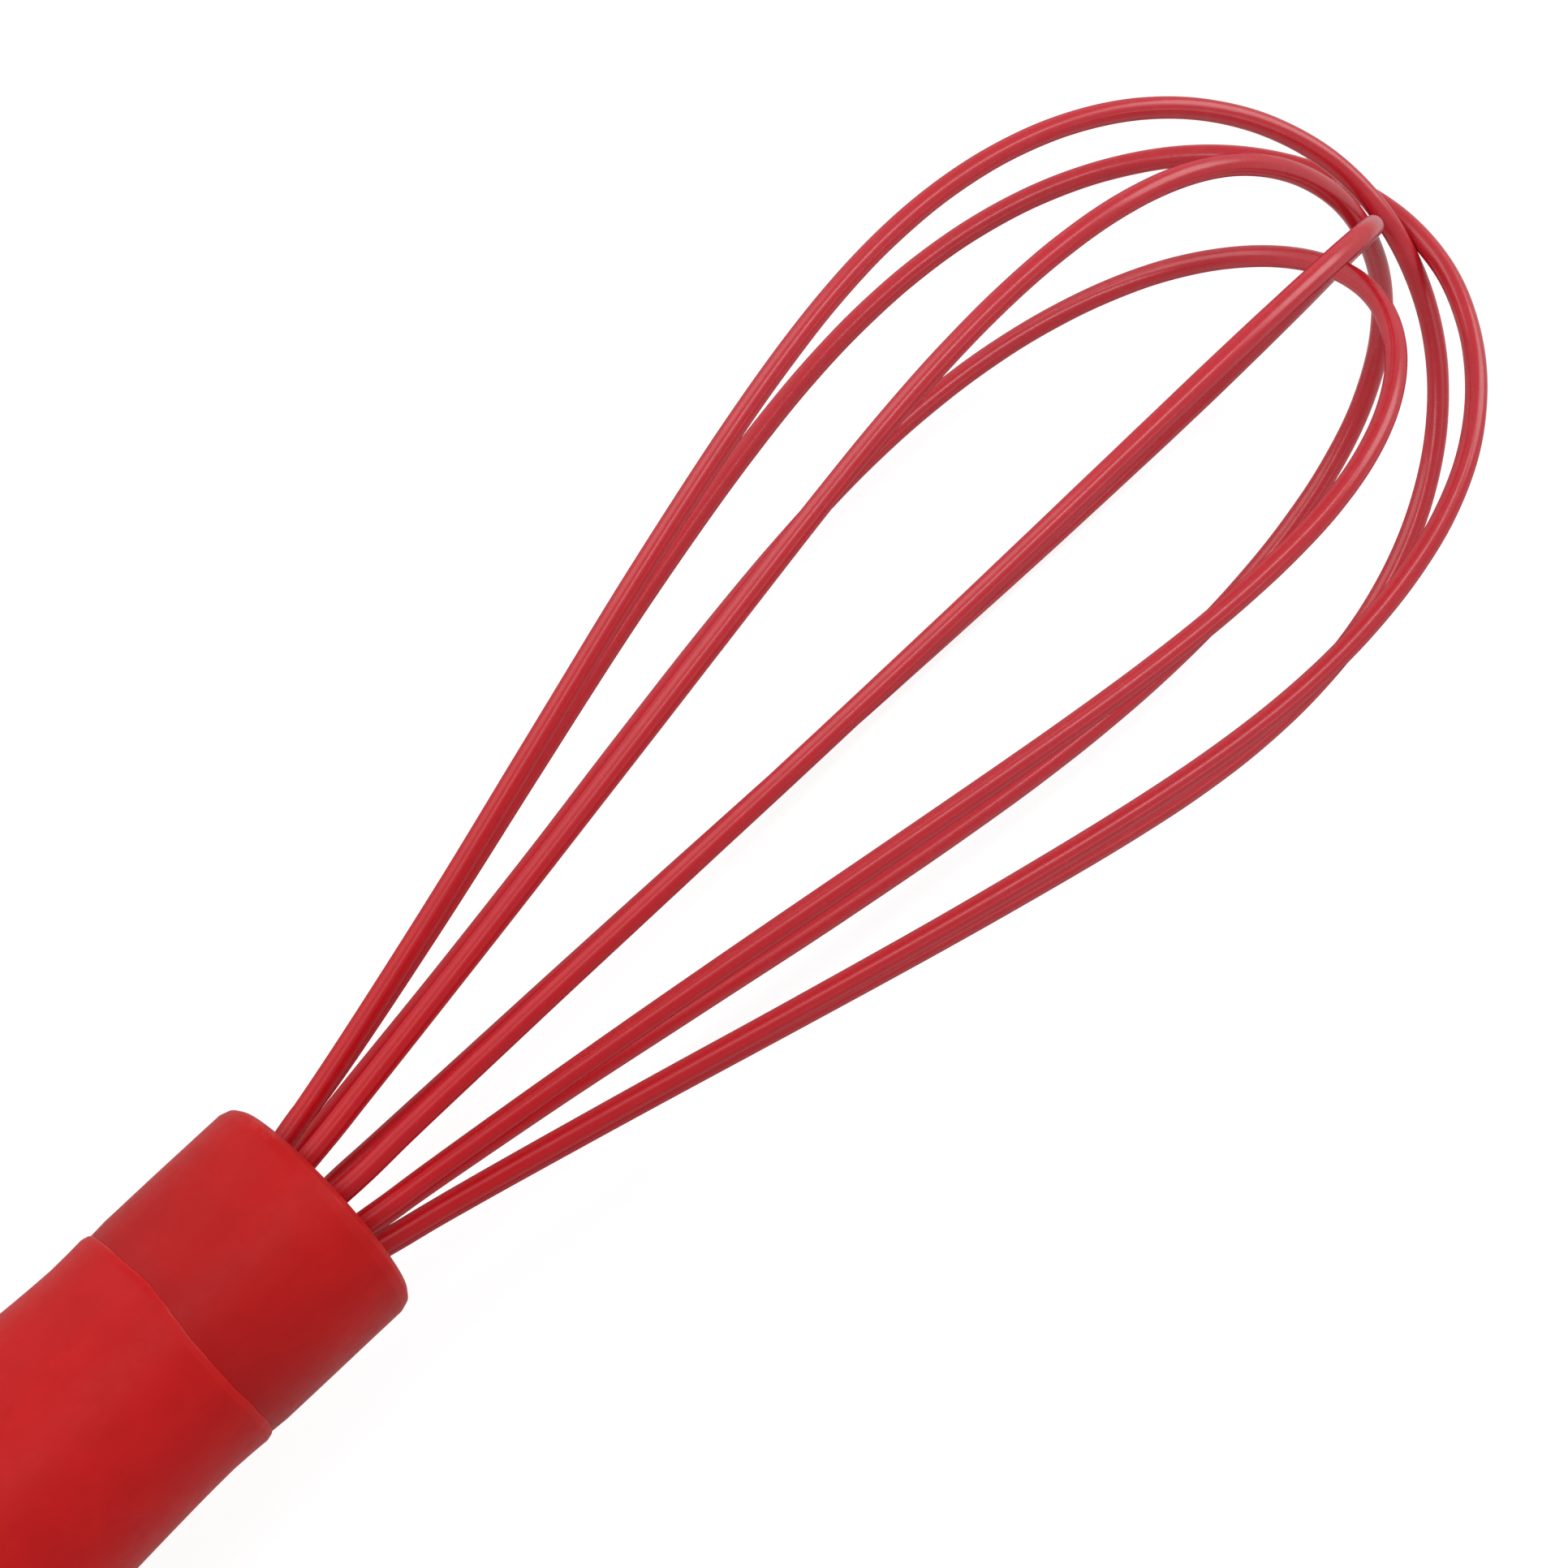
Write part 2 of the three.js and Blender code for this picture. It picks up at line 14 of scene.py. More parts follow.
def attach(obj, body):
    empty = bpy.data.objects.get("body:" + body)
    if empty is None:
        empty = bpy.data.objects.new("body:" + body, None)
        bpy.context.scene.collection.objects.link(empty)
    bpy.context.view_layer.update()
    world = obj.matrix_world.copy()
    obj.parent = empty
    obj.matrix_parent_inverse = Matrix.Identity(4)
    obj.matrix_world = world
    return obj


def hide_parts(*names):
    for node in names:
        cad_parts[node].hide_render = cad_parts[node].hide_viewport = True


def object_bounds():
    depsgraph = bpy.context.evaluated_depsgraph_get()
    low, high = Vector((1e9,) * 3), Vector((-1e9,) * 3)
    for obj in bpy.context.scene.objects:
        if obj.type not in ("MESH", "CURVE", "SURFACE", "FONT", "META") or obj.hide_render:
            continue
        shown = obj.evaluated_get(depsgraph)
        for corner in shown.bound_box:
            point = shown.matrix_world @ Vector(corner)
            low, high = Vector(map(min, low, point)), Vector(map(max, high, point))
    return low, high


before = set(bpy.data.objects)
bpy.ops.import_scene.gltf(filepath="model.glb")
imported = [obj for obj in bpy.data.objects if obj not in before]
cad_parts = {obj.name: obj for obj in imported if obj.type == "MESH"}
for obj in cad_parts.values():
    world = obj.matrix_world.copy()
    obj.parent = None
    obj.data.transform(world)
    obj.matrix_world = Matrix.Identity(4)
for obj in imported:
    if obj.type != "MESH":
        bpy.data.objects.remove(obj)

CAD_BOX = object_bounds()
MM = 0.001
scene = bpy.context.scene

# ------------------------------------------------------------------ driving sizes
WIRE_R, SLEEVE_R, SLEEVE_BORE_R = 0.75, 1.18, 0.87
SLEEVE_HOLE_R, WIRE_HOLE_R = SLEEVE_R + 0.05, WIRE_R + 0.06
# the legs lie on a cone of this radius at x = 0, and gather to a bundle inside the handle
LEG_CIRCLE_R, LEG_SLOPE, BUNDLE_R = 7.39, 0.238, 3.75
WIRE_END_X, SLEEVE_END_X = -28.0, -7.0
# the two leg angles of each loop, degrees
LEG_ANGLES = {"a": (21, 199), "b": (-22, 156), "c": (57, 233), "d": (-50, 124), "e": (94, 274)}
LEGS = [angle for pair in LEG_ANGLES.values() for angle in pair]

# joint between collar and grip, with a hair gap
SEAM_X = -19.65
COLLAR_END_X, GRIP_START_X = SEAM_X - 0.008, SEAM_X - 0.024
HANDLE_BORE_R = 10.5
PIN_X, PIN_R, PIN_HALF = -30.8, 1.0, 9.8
EYE_X, EYE_R, EYE_FLARE_R = -110.6, 2.8, 3.6
LUG_R, LUG_HALF_T, LUG_EDGE_R, LUG_ROOT_X = 5.4, 3.0, 0.9, -101.0
RING_R, RING_WIRE_R = 11, 1.2

# loop centrelines outside the collar, [x, y, z], from the first leg over the tip to the second
LOOPS = {
    "a": [
    [9.05, 8.97, 3.31], [27.61, 13.83, 5.03], [46.04, 19.1, 6.95], [64.46, 24.38, 8.88],
    [80.47, 28.54, 10.39], [91.26, 30.91, 11.25], [99.91, 32.31, 11.75], [107.89, 32.93, 11.99],
    [115.91, 32.7, 11.91], [123.83, 31.45, 11.47], [131.44, 29.08, 10.61], [138.49, 25.52, 9.26],
    [144.64, 20.76, 7.39], [149.55, 14.78, 5.27], [152.65, 7.67, 3.33], [153.41, -0.07, 1.54],
    [152.29, -7.55, -1.1], [149.64, -14.34, -4.45], [145.08, -20.24, -7.33], [138.95, -24.93, -9.27],
    [131.76, -28.34, -10.41], [124.02, -30.48, -11.07], [116.09, -31.43, -11.4], [108.07, -31.42, -11.42],
    [100.1, -30.64, -11.16], [91.5, -29.19, -10.63], [80.78, -26.89, -9.78], [64.81, -23.09, -8.4],
    [46.22, -18.36, -6.69], [27.65, -13.57, -4.94], [9.02, -8.98, -3.22],
    ],
    "b": [
    [9.08, 8.59, -3.59], [27.69, 12.96, -5.5], [46.18, 17.77, -7.55], [64.7, 22.51, -9.56],
    [80.7, 26.12, -11.08], [91.47, 28.13, -11.93], [100.09, 29.31, -12.43], [108.07, 29.87, -12.68],
    [116.08, 29.76, -12.65], [124.01, 28.79, -12.25], [131.7, 26.79, -11.4], [138.91, 23.6, -9.99],
    [145.25, 19.19, -7.95], [150.35, 13.51, -5.64], [153.96, 6.69, -3.47], [155.62, -0.82, -1.29],
    [154.4, -8.02, 1.69], [150.7, -14.21, 5.19], [145.5, -19.48, 8.23], [139.12, -23.83, 10.28],
    [131.85, -26.88, 11.49], [124.08, -28.71, 12.18], [116.14, -29.63, 12.55], [108.13, -29.77, 12.62],
    [100.14, -29.23, 12.41], [91.53, -28.06, 11.92], [80.78, -26.06, 11.07], [64.8, -22.54, 9.57],
    [46.24, -17.98, 7.62], [27.71, -13.26, 5.62], [9.13, -8.74, 3.76],
    ],
    "c": [
    [9.05, 5.34, 7.79], [27.41, 8.26, 11.77], [45.68, 11.29, 16.13], [63.92, 14.37, 20.54],
    [79.91, 17.03, 24.31], [90.69, 18.56, 26.49], [99.32, 19.42, 27.74], [107.21, 19.8, 28.29],
    [115.16, 19.65, 28.07], [122.94, 18.83, 26.89], [130.31, 17.19, 24.54], [136.9, 14.7, 20.96],
    [142.34, 11.42, 16.29], [146.66, 7.61, 10.83], [149.78, 3.45, 4.84], [151.45, -0.97, -1.51],
    [151.37, -5.53, -7.97], [149.03, -9.89, -14.1], [144.39, -13.59, -19.32], [138.13, -16.27, -23.19],
    [130.84, -18.05, -25.8], [123.1, -19.1, -27.34], [115.23, -19.57, -27.98], [107.32, -19.55, -27.91],
    [99.43, -19.13, -27.31], [90.78, -18.33, -26.17], [79.95, -16.97, -24.25], [63.87, -14.54, -20.77],
    [45.62, -11.46, -16.36], [27.37, -8.38, -11.97], [9.01, -5.63, -7.87],
    ],
    "d": [
    [9.02, 6.07, -7.83], [26.13, 8.49, -11.31], [43.23, 11.13, -14.76], [60.23, 13.96, -18.52],
    [76.36, 16.47, -21.87], [87.45, 17.88, -23.73], [96.1, 18.64, -24.73], [103.59, 18.94, -25.12],
    [110.94, 18.79, -24.96], [118.19, 18.11, -24.07], [125.18, 16.78, -22.29], [131.67, 14.73, -19.53],
    [137.31, 11.95, -15.8], [141.73, 8.41, -11.12], [144.64, 4.31, -5.71], [145.75, -0.05, 0.05],
    [144.84, -4.39, 5.82], [142.05, -8.46, 11.24], [137.65, -12.01, 15.94], [131.95, -14.83, 19.63],
    [125.37, -16.78, 22.2], [118.28, -17.85, 23.67], [110.96, -18.19, 24.18], [103.6, -18.05, 23.99],
    [96.16, -17.54, 23.29], [87.58, -16.6, 22.03], [76.59, -15.07, 19.99], [60.5, -12.62, 16.75],
    [43.42, -9.98, 13.24], [26.28, -7.49, 9.91], [9.01, -5.23, 7.17],
    ],
    "e": [
    [9.16, -0.44, 9.49], [27.11, -0.31, 14.04], [44.95, -0.3, 19.03], [62.75, -0.31, 24.13],
    [78.85, -0.25, 28.35], [89.72, -0.14, 30.75], [98.33, -0.03, 32.15], [106.03, 0.08, 32.77],
    [113.74, 0.18, 32.61], [121.39, 0.24, 31.59], [128.88, 0.25, 29.67], [135.97, 0.19, 26.64],
    [142.03, 0.1, 21.93], [146.19, 0.03, 15.5], [148.24, -0.04, 8.08], [148.57, -0.14, 0.38],
    [147.5, -0.33, -7.29], [145.01, -0.55, -14.58], [140.99, -0.74, -21.07], [135.41, -0.88, -26.4],
    [128.69, -0.94, -30.23], [121.32, -0.93, -32.46], [113.69, -0.88, -33.26], [105.97, -0.79, -33],
    [98.26, -0.67, -32.09], [89.64, -0.52, -30.58], [78.78, -0.32, -28.18], [62.63, -0.05, -24.07],
    [44.79, 0.19, -19.07], [26.98, 0.37, -13.97], [9.05, 0.51, -9.37],
    ],
}


# ------------------------------------------------------------------ outlines
def rounded(outline, closed=True):
    """Turns [x, r, corner radius] rows into (x, r) points, each corner an arc of that radius."""
    count = len(outline)
    points = []
    for i, (x, r, fillet) in enumerate(outline):
        if (not closed and i in (0, count - 1)) or fillet <= 0:
            points.append((x, r))
            continue
        corner = Vector((x, r))
        back = Vector(outline[i - 1][:2]) - corner
        ahead = Vector(outline[(i + 1) % count][:2]) - corner
        back_length, ahead_length = back.length, ahead.length
        back.normalize()
        ahead.normalize()
        half = back.angle(ahead) / 2
        # the arc may use up just under half of either side
        trim = min(fillet / math.tan(half), 0.48 * back_length, 0.48 * ahead_length)
        radius = trim * math.tan(half)
        centre = corner + (back + ahead).normalized() * (radius / math.sin(half))
        start = corner + back * trim - centre
        end = corner + ahead * trim - centre
        sweep = start.angle_signed(end)
        steps = max(3, int(abs(sweep) / math.radians(9)))
        for k in range(steps + 1):
            points.append(tuple(centre + Matrix.Rotation(-sweep * k / steps, 2) @ start))
    return points


def smooth_profile(points, steps):
    """A uniform Catmull-Rom curve through (x, r) points."""
    points = [Vector(p) for p in points]
    points = [points[0] * 2 - points[1]] + points + [points[-1] * 2 - points[-2]]
    curve = []
    for i in range(1, len(points) - 2):
        p0, p1, p2, p3 = points[i - 1 : i + 3]
        for k in range(steps):
            t = k / steps
            linear = (p2 - p0) * t
            square = (p0 * 2 - p1 * 5 + p2 * 4 - p3) * t * t
            cube = (p1 * 3 - p0 - p2 * 3 + p3) * t ** 3
            curve.append(tuple(0.5 * (p1 * 2 + linear + square + cube)))
    curve.append(tuple(points[-2]))
    return curve


def densify(outline, step=0.9):
    """Adds points along the straight sides of a closed outline, so that uneven skin reads."""
    dense = []
    for start, end in zip(outline, outline[1:] + outline[:1]):
        dense.append(start)
        length = math.dist(start, end)
        for k in range(1, int(length / step)):
            part = k * step / length
            dense.append(tuple(a + (b - a) * part for a, b in zip(start, end)))
    return dense


def centripetal(points, steps):
    """A centripetal Catmull-Rom curve through 3D points."""
    curve, count = [], len(points)
    for i in range(count - 1):
        p1, p2 = points[i], points[i + 1]
        p0 = points[i - 1] if i > 0 else p1 * 2 - p2
        p3 = points[i + 2] if i + 2 < count else p2 * 2 - p1
        d0, d1, d2 = (max(1e-4, (end - start).length_squared ** 0.25)
                      for start, end in ((p0, p1), (p1, p2), (p2, p3)))
        slope1 = ((p1 - p0) / d0 - (p2 - p0) / (d0 + d1) + (p2 - p1) / d1) * d1
        slope2 = ((p2 - p1) / d1 - (p3 - p1) / (d1 + d2) + (p3 - p2) / d2) * d1
        for k in range(steps):
            t = k / steps
            square = (p2 * 3 - p1 * 3 - slope1 * 2 - slope2) * t * t
            cube = (p1 * 2 - p2 * 2 + slope1 + slope2) * t ** 3
            curve.append(p1 + slope1 * t + square + cube)
    curve.append(points[-1].copy())
    return curve


# ------------------------------------------------------------------ meshes
def link(name, verts, faces):
    """Makes a smooth object from millimetre vertices, with its faces turned outwards."""
    mesh = bpy.data.meshes.new(name)
    mesh.from_pydata([Vector(v) * MM for v in verts], [], faces)
    bm = bmesh.new()
    bm.from_mesh(mesh)
    bmesh.ops.remove_doubles(bm, verts=bm.verts, dist=1e-7)
    bmesh.ops.recalc_face_normals(bm, faces=bm.faces)
    if bm.calc_volume(signed=True) < 0:
        bmesh.ops.reverse_faces(bm, faces=bm.faces)
    bm.to_mesh(mesh)
    bm.free()
    mesh.polygons.foreach_set("use_smooth", [True] * len(mesh.polygons))
    obj = bpy.data.objects.new(name, mesh)
    scene.collection.objects.link(obj)
    return obj


def bridge(first, second, flip=False):
    """Faces between two rings of vertex indices; either ring may be a single vertex."""
    faces = []
    count = max(len(first), len(second))
    for k in range(count):
        j = (k + 1) % count
        if len(first) == 1:
            faces.append((first[0], second[j], second[k]))
        elif len(second) == 1:
            faces.append((first[k], first[j], second[0]))
        else:
            a, b = (j, k) if flip else (k, j)
            faces.append((first[a], first[b], second[b], second[a]))
    return faces


def lathe(name, outline, segments, shape=None):
    """Turns (x, r) points about X; one that starts off the axis is closed into a loop.

    shape(x, r, angle) may move a point.
    """
    rings, verts, faces = [], [], []
    for x, r in outline:
        start = len(verts)
        if r < 1e-6:
            verts.append((x, 0, 0))
        else:
            for k in range(segments):
                angle = 2 * math.pi * k / segments
                px, pr = shape(x, r, angle) if shape else (x, r)
                verts.append((px, pr * math.cos(angle), pr * math.sin(angle)))
        rings.append(list(range(start, len(verts))))
    if outline[0][1] > 1e-6:
        rings.append(rings[0])
    for first, second in zip(rings, rings[1:]):
        faces += bridge(first, second)
    return link(name, verts, faces)


def frames_along(points):
    """The two cross directions at each point, carried along without twist."""
    last = len(points) - 1
    tangents = [(points[min(last, i + 1)] - points[max(0, i - 1)]).normalized()
                for i in range(last + 1)]
    first = tangents[0]
    up = Vector((0, 0, 1)) if abs(first.z) < 0.8 else Vector((0, 1, 0))
    normals = [(up - first * up.dot(first)).normalized()]
    for before, tangent in zip(tangents, tangents[1:]):
        carried = before.rotation_difference(tangent) @ normals[-1]
        normals.append((carried - tangent * carried.dot(tangent)).normalized())
    return normals, [t.cross(n) for t, n in zip(tangents, normals)]


def tube(name, points, radii, sides, bore_r=None):
    """A round bar along points, one radius for each; bore_r makes it hollow."""
    normals, binormals = frames_along(points)
    verts, faces = [], []

    def ring(i, radius):
        start = len(verts)
        for k in range(sides):
            angle = 2 * math.pi * k / sides
            verts.append(points[i] + normals[i] * (radius * math.cos(angle))
                         + binormals[i] * (radius * math.sin(angle)))
        return list(range(start, start + sides))

    outer = [ring(i, radius) for i, radius in enumerate(radii)]
    for first, second in zip(outer, outer[1:]):
        faces += bridge(first, second)
    if bore_r:
        inner = [ring(i, bore_r) for i in range(len(points))]
        for first, second in zip(inner, inner[1:]):
            faces += bridge(first, second, flip=True)
        faces += bridge(outer[0], inner[0]) + bridge(outer[-1], inner[-1])
    else:
        for end in (outer[0], outer[-1]):
            verts.append(sum((verts[v] for v in end), Vector()) / sides)
            faces += bridge(end, [len(verts) - 1])
    return link(name, verts, faces)


def rod(start, end, radius, sides):
    """A straight cutting tool."""
    start, end = Vector(start), Vector(end)
    return tube("tool", [start, start.lerp(end, 0.5), end], [radius] * 3, sides)


def torus(name, centre, axis, major, minor, segments, sides, bulge=lambda direction: 1):
    """A ring about centre; bulge(direction from the centre) scales the bar's radius."""
    axis = Vector(axis)
    across = axis.orthogonal().normalized()
    other = axis.cross(across)
    verts, faces = [], []
    for i in range(segments):
        turn = 2 * math.pi * i / segments
        outward = across * math.cos(turn) + other * math.sin(turn)
        radius = minor * bulge(outward)
        this, following = i * sides, (i + 1) % segments * sides
        for k in range(sides):
            angle = 2 * math.pi * k / sides
            verts.append(Vector(centre) + outward * (major + radius * math.cos(angle))
                         + axis * (radius * math.sin(angle)))
            j = (k + 1) % sides
            faces.append((this + k, following + k, following + j, this + j))
    return link(name, verts, faces)


def boolean(obj, cutters, operation="DIFFERENCE"):
    """Cuts or joins, applies the result and removes the tools."""
    for cutter in cutters:
        mod = obj.modifiers.new("cut", "BOOLEAN")
        mod.operation = operation
        mod.solver = "EXACT"
        mod.object = cutter
    depsgraph = bpy.context.evaluated_depsgraph_get()
    depsgraph.update()
    mesh = bpy.data.meshes.new_from_object(obj.evaluated_get(depsgraph))
    obj.modifiers.clear()
    old = obj.data
    obj.data = mesh
    mesh.name = old.name
    bpy.data.meshes.remove(old)
    for cutter in cutters:
        data = cutter.data
        bpy.data.objects.remove(cutter)
        bpy.data.meshes.remove(data)
    tidy(mesh)
    shade(obj, 35)


def tidy(mesh):
    """Removes zero-size faces, and any film of faces left across a hole's mouth."""
    bm = bmesh.new()
    bm.from_mesh(mesh)
    bmesh.ops.dissolve_degenerate(bm, dist=2e-6, edges=bm.edges)
    seen, films, total = set(), [], len(bm.faces)
    for start in bm.faces:
        if start in seen:
            continue
        seen.add(start)
        stack, region, film = [start], [], False
        while stack:
            face = stack.pop()
            region.append(face)
            for edge in face.edges:
                if len(edge.link_faces) > 2:
                    film = True
                    continue
                for other in edge.link_faces:
                    if other not in seen:
                        seen.add(other)
                        stack.append(other)
        if film and len(region) < 0.05 * total:
            films += region
    if films:
        bmesh.ops.delete(bm, geom=films, context="FACES")
    bm.to_mesh(mesh)
    bm.free()


def shade(obj, degrees):
    """Smooth shading with edges sharper than this angle left crisp."""
    mesh = obj.data
    mesh.polygons.foreach_set("use_smooth", [True] * len(mesh.polygons))
    bm = bmesh.new()
    bm.from_mesh(mesh)
    for edge in bm.edges:
        soft = edge.calc_face_angle(0) < math.radians(degrees)
        edge.smooth = len(edge.link_faces) != 2 or soft
    bm.to_mesh(mesh)
    bm.free()


# ------------------------------------------------------------------ materials
class Shader:
    """A Principled material and the steps that build its nodes."""

    def __init__(self, name):
        self.material = bpy.data.materials.new(name)
        self.material.use_nodes = True
        self.tree = self.material.node_tree
        self.tree.nodes.clear()
        output = self.node("OutputMaterial")
        self.principled = self.node("BsdfPrincipled")
        self.tree.links.new(self.principled.outputs[0], output.inputs["Surface"])
        self.coord = self.node("TexCoord").outputs["Object"]

    def node(self, kind):
        return self.tree.nodes.new("ShaderNode" + kind)

    def put(self, socket, value):
        """Links a socket, or sets a number or a colour (alpha filled in as 1)."""
        if hasattr(value, "is_linked"):
            self.tree.links.new(value, socket)
        elif hasattr(socket.default_value, "__len__"):
            value = tuple(value)
            socket.default_value = value + (1.0,) * (len(socket.default_value) - len(value))
        else:
            socket.default_value = value

    def set(self, **values):
        for key, value in values.items():
            self.put(self.principled.inputs[key.replace("_", " ")], value)

    def noise(self, scale, detail=3.0, rough=0.55, distort=0.0, stretch=None):
        coord = self.coord
        if stretch:
            mapping = self.node("Mapping")
            mapping.inputs["Scale"].default_value = stretch
            self.tree.links.new(coord, mapping.inputs["Vector"])
            coord = mapping.outputs[0]
        noise = self.node("TexNoise")
        noise.inputs["Scale"].default_value = scale
        noise.inputs["Detail"].default_value = detail
        noise.inputs["Roughness"].default_value = rough
        noise.inputs["Distortion"].default_value = distort
        self.tree.links.new(coord, noise.inputs["Vector"])
        return noise.outputs["Fac"]

    def voronoi(self, scale):
        cells = self.node("TexVoronoi")
        cells.inputs["Scale"].default_value = scale
        self.tree.links.new(self.coord, cells.inputs["Vector"])
        return cells.outputs["Distance"]

    def math(self, operation, first, second):
        node = self.node("Math")
        node.operation = operation
        self.put(node.inputs[0], first)
        self.put(node.inputs[1], second)
        return node.outputs[0]

    def times(self, first, second):
        return self.math("MULTIPLY", first, second)

    def vary(self, base, value, middle, gain):
        """base + (value - middle) * gain"""
        return self.math("ADD", base, self.times(self.math("SUBTRACT", value, middle), gain))

    def remap(self, value, span, to=(0.0, 1.0), smooth=True):
        node = self.node("MapRange")
        node.interpolation_type = "SMOOTHSTEP" if smooth else "LINEAR"
        for i, part in enumerate((value, *span, *to)):
            self.put(node.inputs[i], part)
        return node.outputs[0]

    def mix(self, amount, first, second):
        """Blends two colours; the RGBA sockets are numbers 6 and 7."""
        node = self.node("Mix")
        node.data_type, node.blend_type = "RGBA", "MIX"
        self.put(node.inputs[0], amount)
        self.put(node.inputs[6], first)
        self.put(node.inputs[7], second)
        return node.outputs[2]

    def axis(self, which):
        split = self.node("SeparateXYZ")
        self.tree.links.new(self.coord, split.inputs[0])
        return split.outputs[which]

    def edge(self, span):
        """1 on convex edges, from the mesh's own curvature."""
        return self.remap(self.node("NewGeometry").outputs["Pointiness"], span)

    def facing_fade(self, front, edge, span):
        """Goes from front, where the skin faces the viewer, to edge, where it is edge-on."""
        weight = self.node("LayerWeight")
        weight.inputs["Blend"].default_value = 0.5
        return self.remap(weight.outputs["Facing"], span, to=(front, edge))

    def bump(self, *layers):
        """Chains (height, distance in metres) layers, each on top of the one before."""
        normal = None
        for height, distance in layers:
            bump = self.node("Bump")
            bump.inputs["Strength"].default_value = 1.0
            bump.inputs["Distance"].default_value = distance
            self.put(bump.inputs["Height"], height)
            if normal is not None:
                self.tree.links.new(normal, bump.inputs["Normal"])
            normal = bump.outputs[0]
        self.tree.links.new(normal, self.principled.inputs["Normal"])


def handle_material(name, deep, base, light, roughness, painted_shade=0.0):
    """Matt red silicone; the last argument paints shade along the collar, darkest towards the seam."""
    worn_color, painted_shade_color = (0.62, 0.035, 0.030), (0.34, 0.0015, 0.0020)
    mat = Shader(name)
    cloud = mat.noise(scale=150)
    streak = mat.noise(scale=420, distort=0.3, stretch=(0.45, 1, 1))
    blotch = mat.noise(scale=700, detail=4, rough=0.6, distort=0.4)
    fine = mat.noise(scale=5200, detail=2, rough=0.5)
    color = mat.mix(mat.remap(cloud, span=(0.34, 0.66)), deep, base)
    streak_amount = 0.45
    color = mat.mix(mat.times(mat.remap(streak, span=(0.45, 0.72)), streak_amount), color, light)
    # convex edges turn lighter and glossier: partly edge wear, partly a painted highlight along the rim
    # fillets
    worn = mat.times(mat.edge(span=(0.505, 0.56)),
                     mat.remap(mat.noise(scale=900), span=(0.3, 0.7), to=(0.35, 1.0)))
    wear_and_highlight_tint, worn_polish = 0.30, 0.10
    color = mat.mix(mat.times(worn, wear_and_highlight_tint), color, worn_color)
    # painted shade: the collar darkens towards the seam as if the light fell off along it, with a darker
    # painted shadow band where the grip's lip shades the collar
    if painted_shade:
        lip_shadow_amount = 0.20
        painted_lip_shadow = mat.times(mat.remap(mat.axis("X"), span=(-0.0170, -0.0194)), lip_shadow_amount)
        painted_shade_fade = mat.remap(mat.axis("X"), span=(-0.003, -0.0178), to=(0, painted_shade))
        color = mat.mix(mat.math("ADD", painted_shade_fade, painted_lip_shadow), color, painted_shade_color)
    rough = mat.vary(roughness, blotch, middle=0.5, gain=0.25)
    rough = mat.math("SUBTRACT", rough, mat.times(worn, worn_polish))
    mat.set(Base_Color=color, Roughness=rough, IOR=1.41, Specular_IOR_Level=0.31,
            Subsurface_Weight=0.06, Subsurface_Radius=(1.0, 0.12, 0.10), Subsurface_Scale=0.0010)
    mat.bump((fine, 0.000006), (blotch, 0.000016), (cloud, 0.00005))
    return mat.material


def sleeve_material():
    """Glossy red silicone, a little paler and shinier away from the handle."""
    near_color, far_color = (0.520, 0.0012, 0.0060), (0.540, 0.0110, 0.0240)
    cloud_color, cloud_amount = (0.470, 0.0050, 0.0150), 0.35
    dust_color, rim_color = (0.60, 0.12, 0.14), (0.300, 0.0080, 0.1000)
    mat = Shader("sleeve_silicone")
    x = mat.axis("X")
    along = mat.remap(x, span=(0.006, 0.105))
    cloud = mat.noise(scale=260, rough=0.5)
    fine = mat.noise(scale=4200)
    color = mat.mix(along, near_color, far_color)
    clouding = mat.times(mat.remap(cloud, span=(0.3, 0.7)), cloud_amount)
    color = mat.mix(clouding, color, cloud_color)
    dust = mat.times(mat.remap(mat.noise(scale=1100), span=(0.50, 0.72)),
                     mat.remap(along, span=(0, 1), to=(0.03, 0.08), smooth=False))
    color = mat.mix(dust, color, dust_color)
    # the red skin looks darker and bluer where it is seen edge-on, and loses its gloss there
    # except at the far turns, which curve away from the viewer and shine
    tip = mat.remap(x, span=(0.139, 0.150))
    tip_relief = 0.85
    rim = mat.times(mat.facing_fade(front=0.0, edge=0.85, span=(0.76, 1.0)),
                    mat.math("SUBTRACT", 1.0, mat.times(tip, tip_relief)))
    color = mat.mix(rim, color, rim_color)
    gloss = mat.math("MAXIMUM", mat.facing_fade(front=1.0, edge=0.0, span=(0.34, 0.80)), tip)
    rough = mat.vary(mat.remap(along, span=(0, 1), to=(0.33, 0.25), smooth=False),
                     cloud, middle=0.4, gain=0.14)
    shine = mat.remap(along, span=(0, 1), to=(0.42, 0.95), smooth=False)
    mat.set(Base_Color=color, Roughness=rough, IOR=1.43,
            Specular_IOR_Level=mat.times(shine, gloss),
            Subsurface_Weight=0.08, Subsurface_Radius=(1.0, 0.12, 0.14), Subsurface_Scale=0.0006)
    mat.bump((fine, 0.0000015), (cloud, 0.000012))
    return mat.material


def steel_material(name, color, rough, stretch, scratch):
    """Brushed steel; scratch is how far the brushing swings the roughness."""
    cloud_darken, worn_color, worn_amount = 0.82, (0.82, 0.82, 0.83), 0.4
    mat = Shader(name)
    brushed = mat.noise(scale=900, detail=4, rough=0.7, stretch=stretch)
    cloud = mat.noise(scale=220)
    dark = tuple(c * cloud_darken for c in color)
    tint = mat.mix(mat.remap(cloud, span=(0.35, 0.7)), color, dark)
    tint = mat.mix(mat.times(mat.edge(span=(0.51, 0.6)), worn_amount), tint, worn_color)
    mat.set(Base_Color=tint, Metallic=1.0,
            Roughness=mat.vary(rough, brushed, middle=0.5, gain=scratch))
    mat.bump((brushed, 0.000004))
    return mat.material


